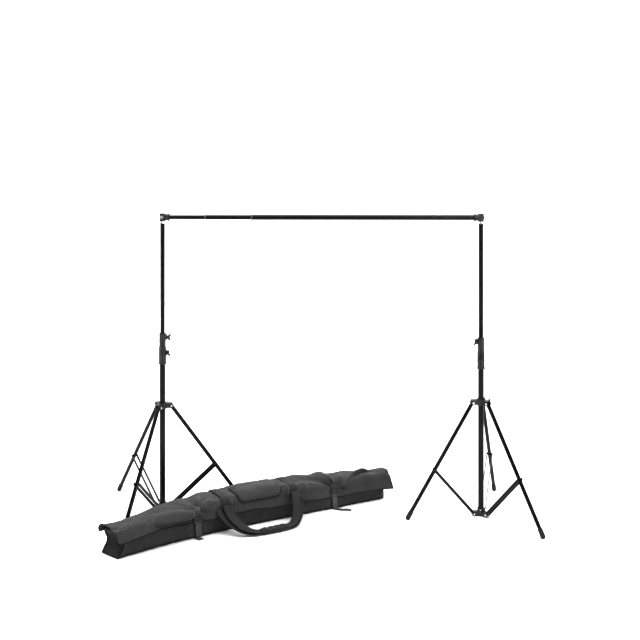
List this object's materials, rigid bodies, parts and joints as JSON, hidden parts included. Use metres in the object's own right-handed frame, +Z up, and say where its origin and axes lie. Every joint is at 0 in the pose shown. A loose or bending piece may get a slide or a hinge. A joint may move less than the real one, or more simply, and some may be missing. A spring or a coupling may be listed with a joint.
{
  "type": "background support system",
  "caption": "Free-standing backdrop support: folding light stands with telescopic masts hold up a telescopic crossbar, and a long soft carry bag with webbing handles lies in front.",
  "frame": {"origin": "on the floor, at the middle of the whole kit's bounding box", "axes": "+X along the crossbar from the left stand to the right stand, +Z up, -Y towards the side the carry bag is seen from"},
  "size_m": [2.1622, 0.9328, 1.507],
  "materials": {
    "mast_black": "gloss black anodised",
    "bar_black": "satin black anodised",
    "leg_black": "gloss black anodised",
    "brace_black": "satin black",
    "collar_plastic": "moulded black",
    "knob_plastic": "moulded black",
    "socket_plastic": "moulded black",
    "foot_rubber": "matt",
    "bright_steel": "zinc plated",
    "spigot_chrome": "polished",
    "ferrule_metal": "satin",
    "bag_nylon": "woven nylon",
    "flap_nylon": "woven nylon",
    "pocket_nylon": "woven nylon",
    "webbing": "webbing",
    "grip_fabric": "padded nylon",
    "strap_webbing": "webbing",
    "buckle_plastic": "moulded black"
  },
  "bodies": {
    "left_column": {"left_lower_tube": "mast_black", "left_lower_hub": "collar_plastic", "left_hub_bolts": "bright_steel", "left_lower_lock": "collar_plastic"},
    "left_lower_knob": {"left_lower_lock_knob": "knob_plastic"},
    "left_collar": {"left_leg_collar": "collar_plastic", "left_collar_bolts": "bright_steel"},
    "left_collar_screw": {"left_collar_knob": "knob_plastic"},
    "left_leg_1": {"left_leg_1": "leg_black", "left_foot_1": "foot_rubber"},
    "left_brace_1": {"left_brace_1": "brace_black"},
    "left_leg_2": {"left_leg_2": "leg_black", "left_foot_2": "foot_rubber"},
    "left_brace_2": {"left_brace_2": "brace_black"},
    "left_leg_3": {"left_leg_3": "leg_black", "left_foot_3": "foot_rubber"},
    "left_brace_3": {"left_brace_3": "brace_black"},
    "left_middle": {"left_middle_tube": "mast_black", "left_upper_lock": "collar_plastic"},
    "left_upper_knob": {"left_upper_lock_knob": "knob_plastic"},
    "left_top": {"left_top_tube": "mast_black", "left_spigot": "spigot_chrome"},
    "right_column": {"right_lower_tube": "mast_black", "right_lower_hub": "collar_plastic", "right_hub_bolts": "bright_steel", "right_lower_lock": "collar_plastic"},
    "right_lower_knob": {"right_lower_lock_knob": "knob_plastic"},
    "right_collar": {"right_leg_collar": "collar_plastic", "right_collar_bolts": "bright_steel"},
    "right_collar_screw": {"right_collar_knob": "knob_plastic"},
    "right_leg_1": {"right_leg_1": "leg_black", "right_foot_1": "foot_rubber"},
    "right_brace_1": {"right_brace_1": "brace_black"},
    "right_leg_2": {"right_leg_2": "leg_black", "right_foot_2": "foot_rubber"},
    "right_brace_2": {"right_brace_2": "brace_black"},
    "right_leg_3": {"right_leg_3": "leg_black", "right_foot_3": "foot_rubber"},
    "right_brace_3": {"right_brace_3": "brace_black"},
    "right_middle": {"right_middle_tube": "mast_black", "right_upper_lock": "collar_plastic"},
    "right_upper_knob": {"right_upper_lock_knob": "knob_plastic"},
    "right_top": {"right_top_tube": "mast_black", "right_spigot": "spigot_chrome"},
    "bar_inner": {"bar_inner_tube": "bar_black", "bar_left_socket": "socket_plastic"},
    "bar_left_screw": {"bar_left_screw": "bright_steel"},
    "bar_middle": {"bar_middle_tube": "bar_black", "bar_middle_ring": "ferrule_metal"},
    "bar_outer": {"bar_outer_tube": "bar_black", "bar_outer_ring": "ferrule_metal", "bar_right_socket": "socket_plastic"},
    "bar_right_screw": {"bar_right_screw": "bright_steel"},
    "bag": {"bag_body": "bag_nylon", "bag_flap": "flap_nylon", "bag_pocket": "pocket_nylon", "bag_handles": "webbing", "bag_handle_grip": "grip_fabric", "bag_straps": "strap_webbing", "bag_buckles": "buckle_plastic"}
  },
  "joints": [
    {"name": "left_collar_slide", "type": "slide", "parent": "left_column", "child": "left_collar", "axis": [0, 0, 1], "range_m": [0, 0.17365]},
    {"name": "left_leg_1_hinge", "type": "hinge", "parent": "left_collar", "child": "left_leg_1", "pos_m": [-0.7324, 0.11102, 0.53576], "axis": [-0.2504, 0.9681, 0], "range_deg": [0, 35.6]},
    {"name": "left_brace_1_hinge", "type": "hinge", "parent": "left_column", "child": "left_brace_1", "pos_m": [-0.73627, 0.11002, 0.02844], "axis": [0.2504, -0.9681, 0], "range_deg": [0, 48.06]},
    {"name": "left_leg_2_hinge", "type": "hinge", "parent": "left_collar", "child": "left_leg_2", "pos_m": [-0.80584, 0.13138, 0.53576], "axis": [-0.7133, -0.7009, 0], "range_deg": [0, 35.6]},
    {"name": "left_brace_2_hinge", "type": "hinge", "parent": "left_column", "child": "left_brace_2", "pos_m": [-0.80304, 0.12853, 0.02844], "axis": [0.7133, 0.7009, 0], "range_deg": [0, 48.06]},
    {"name": "left_leg_3_hinge", "type": "hinge", "parent": "left_collar", "child": "left_leg_3", "pos_m": [-0.78676, 0.0576, 0.53576], "axis": [0.9636, -0.2672, 0], "range_deg": [0, 35.6]},
    {"name": "left_brace_3_hinge", "type": "hinge", "parent": "left_column", "child": "left_brace_3", "pos_m": [-0.78569, 0.06146, 0.02844], "axis": [-0.9636, 0.2672, 0], "range_deg": [0, 48.06]},
    {"name": "left_collar_knob_turn", "type": "hinge", "parent": "left_collar", "child": "left_collar_screw", "pos_m": [-0.76645, 0.13084, 0.53776], "axis": [0.2672, 0.9636, 0], "range_deg": [0, 180]},
    {"name": "left_lower_knob_turn", "type": "hinge", "parent": "left_column", "child": "left_lower_knob", "pos_m": [-0.746, 0.08648, 0.80544], "axis": [0.9063, -0.4226, 0], "range_deg": [0, 180]},
    {"name": "left_upper_knob_turn", "type": "hinge", "parent": "left_middle", "child": "left_upper_knob", "pos_m": [-0.7437, 0.09335, 0.88394], "axis": [0.9781, -0.2079, 0], "range_deg": [0, 180]},
    {"name": "left_middle_slide", "type": "slide", "parent": "left_column", "child": "left_middle", "axis": [0, 0, 1], "range_m": [0, 0.56]},
    {"name": "left_top_slide", "type": "slide", "parent": "left_middle", "child": "left_top", "axis": [0, 0, 1], "range_m": [-0.55, 0.09]},
    {"name": "bar_left_swivel", "type": "hinge", "parent": "left_top", "child": "bar_inner", "pos_m": [-0.775, 0.1, 1.488], "axis": [0, 0, 1], "continuous": true},
    {"name": "bar_left_screw_turn", "type": "hinge", "parent": "bar_inner", "child": "bar_left_screw", "pos_m": [-0.775, 0.08, 1.488], "axis": [0, -1, 0], "range_deg": [0, 180]},
    {"name": "bar_middle_slide", "type": "slide", "parent": "bar_inner", "child": "bar_middle", "axis": [1, 0, 0], "range_m": [-0.17, 0.74]},
    {"name": "bar_outer_slide", "type": "slide", "parent": "bar_middle", "child": "bar_outer", "axis": [1, 0, 0], "range_m": [-0.22, 0.74]},
    {"name": "bar_right_screw_turn", "type": "hinge", "parent": "bar_outer", "child": "bar_right_screw", "pos_m": [0.845, 0.1, 1.488], "axis": [1, 0, 0], "range_deg": [0, 180]},
    {"name": "bar_right_swivel", "type": "hinge", "parent": "bar_outer", "child": "right_top", "pos_m": [0.825, 0.1, 1.488], "axis": [0, 0, 1], "continuous": true},
    {"name": "right_top_slide", "type": "slide", "parent": "right_top", "child": "right_middle", "axis": [0, 0, -1], "range_m": [-0.55, 0.09]},
    {"name": "right_middle_slide", "type": "slide", "parent": "right_middle", "child": "right_column", "axis": [0, 0, -1], "range_m": [0, 0.56]},
    {"name": "right_collar_slide", "type": "slide", "parent": "right_column", "child": "right_collar", "axis": [0, 0, 1], "range_m": [0, 0.13014]},
    {"name": "right_leg_1_hinge", "type": "hinge", "parent": "right_collar", "child": "right_leg_1", "pos_m": [0.83958, 0.14152, 0.56481], "axis": [-0.9435, 0.3313, 0], "range_deg": [0, 30.9]},
    {"name": "right_brace_1_hinge", "type": "hinge", "parent": "right_column", "child": "right_brace_1", "pos_m": [0.83825, 0.13774, 0.01398], "axis": [0.9435, -0.3313, 0], "range_deg": [0, 40.96]},
    {"name": "right_leg_2_hinge", "type": "hinge", "parent": "right_collar", "child": "right_leg_2", "pos_m": [0.78176, 0.09187, 0.56481], "axis": [0.1848, -0.9828, 0], "range_deg": [0, 30.9]},
    {"name": "right_brace_2_hinge", "type": "hinge", "parent": "right_column", "child": "right_brace_2", "pos_m": [0.78569, 0.09261, 0.01398], "axis": [-0.1848, 0.9828, 0], "range_deg": [0, 40.96]},
    {"name": "right_leg_3_hinge", "type": "hinge", "parent": "right_collar", "child": "right_leg_3", "pos_m": [0.85366, 0.06662, 0.56481], "axis": [0.7587, 0.6514, 0], "range_deg": [0, 30.9]},
    {"name": "right_brace_3_hinge", "type": "hinge", "parent": "right_column", "child": "right_brace_3", "pos_m": [0.85106, 0.06965, 0.01398], "axis": [-0.7587, -0.6514, 0], "range_deg": [0, 40.96]},
    {"name": "right_collar_knob_turn", "type": "hinge", "parent": "right_collar", "child": "right_collar_screw", "pos_m": [0.85645, 0.10591, 0.56681], "axis": [0.9828, 0.1848, 0], "range_deg": [0, 180]},
    {"name": "right_lower_knob_turn", "type": "hinge", "parent": "right_column", "child": "right_lower_knob", "pos_m": [0.82055, 0.06831, 0.79098], "axis": [-0.1392, -0.9903, 0], "range_deg": [0, 180]},
    {"name": "right_upper_knob_turn", "type": "hinge", "parent": "right_middle", "child": "right_upper_knob", "pos_m": [0.79879, 0.08165, 0.86948], "axis": [-0.8192, -0.5736, 0], "range_deg": [0, 180]},
    {"name": "bag_lift", "type": "slide", "parent": "left_column", "child": "bag", "axis": [0, 0, 1], "range_m": [0, 0.3]}
  ],
  "couplings": [
    {"joint": "left_leg_1_hinge", "follows": "left_collar_slide", "rad_per_m": 3.5781},
    {"joint": "left_brace_1_hinge", "follows": "left_collar_slide", "rad_per_m": 4.8299},
    {"joint": "left_leg_2_hinge", "follows": "left_collar_slide", "rad_per_m": 3.5781},
    {"joint": "left_brace_2_hinge", "follows": "left_collar_slide", "rad_per_m": 4.8299},
    {"joint": "left_leg_3_hinge", "follows": "left_collar_slide", "rad_per_m": 3.5781},
    {"joint": "left_brace_3_hinge", "follows": "left_collar_slide", "rad_per_m": 4.8299},
    {"joint": "right_top_slide", "follows": "left_top_slide", "ratio": 1},
    {"joint": "right_middle_slide", "follows": "left_middle_slide", "ratio": 1},
    {"joint": "right_leg_1_hinge", "follows": "right_collar_slide", "rad_per_m": 4.1441},
    {"joint": "right_brace_1_hinge", "follows": "right_collar_slide", "rad_per_m": 5.4931},
    {"joint": "right_leg_2_hinge", "follows": "right_collar_slide", "rad_per_m": 4.1441},
    {"joint": "right_brace_2_hinge", "follows": "right_collar_slide", "rad_per_m": 5.4931},
    {"joint": "right_leg_3_hinge", "follows": "right_collar_slide", "rad_per_m": 4.1441},
    {"joint": "right_brace_3_hinge", "follows": "right_collar_slide", "rad_per_m": 5.4931}
  ]
}
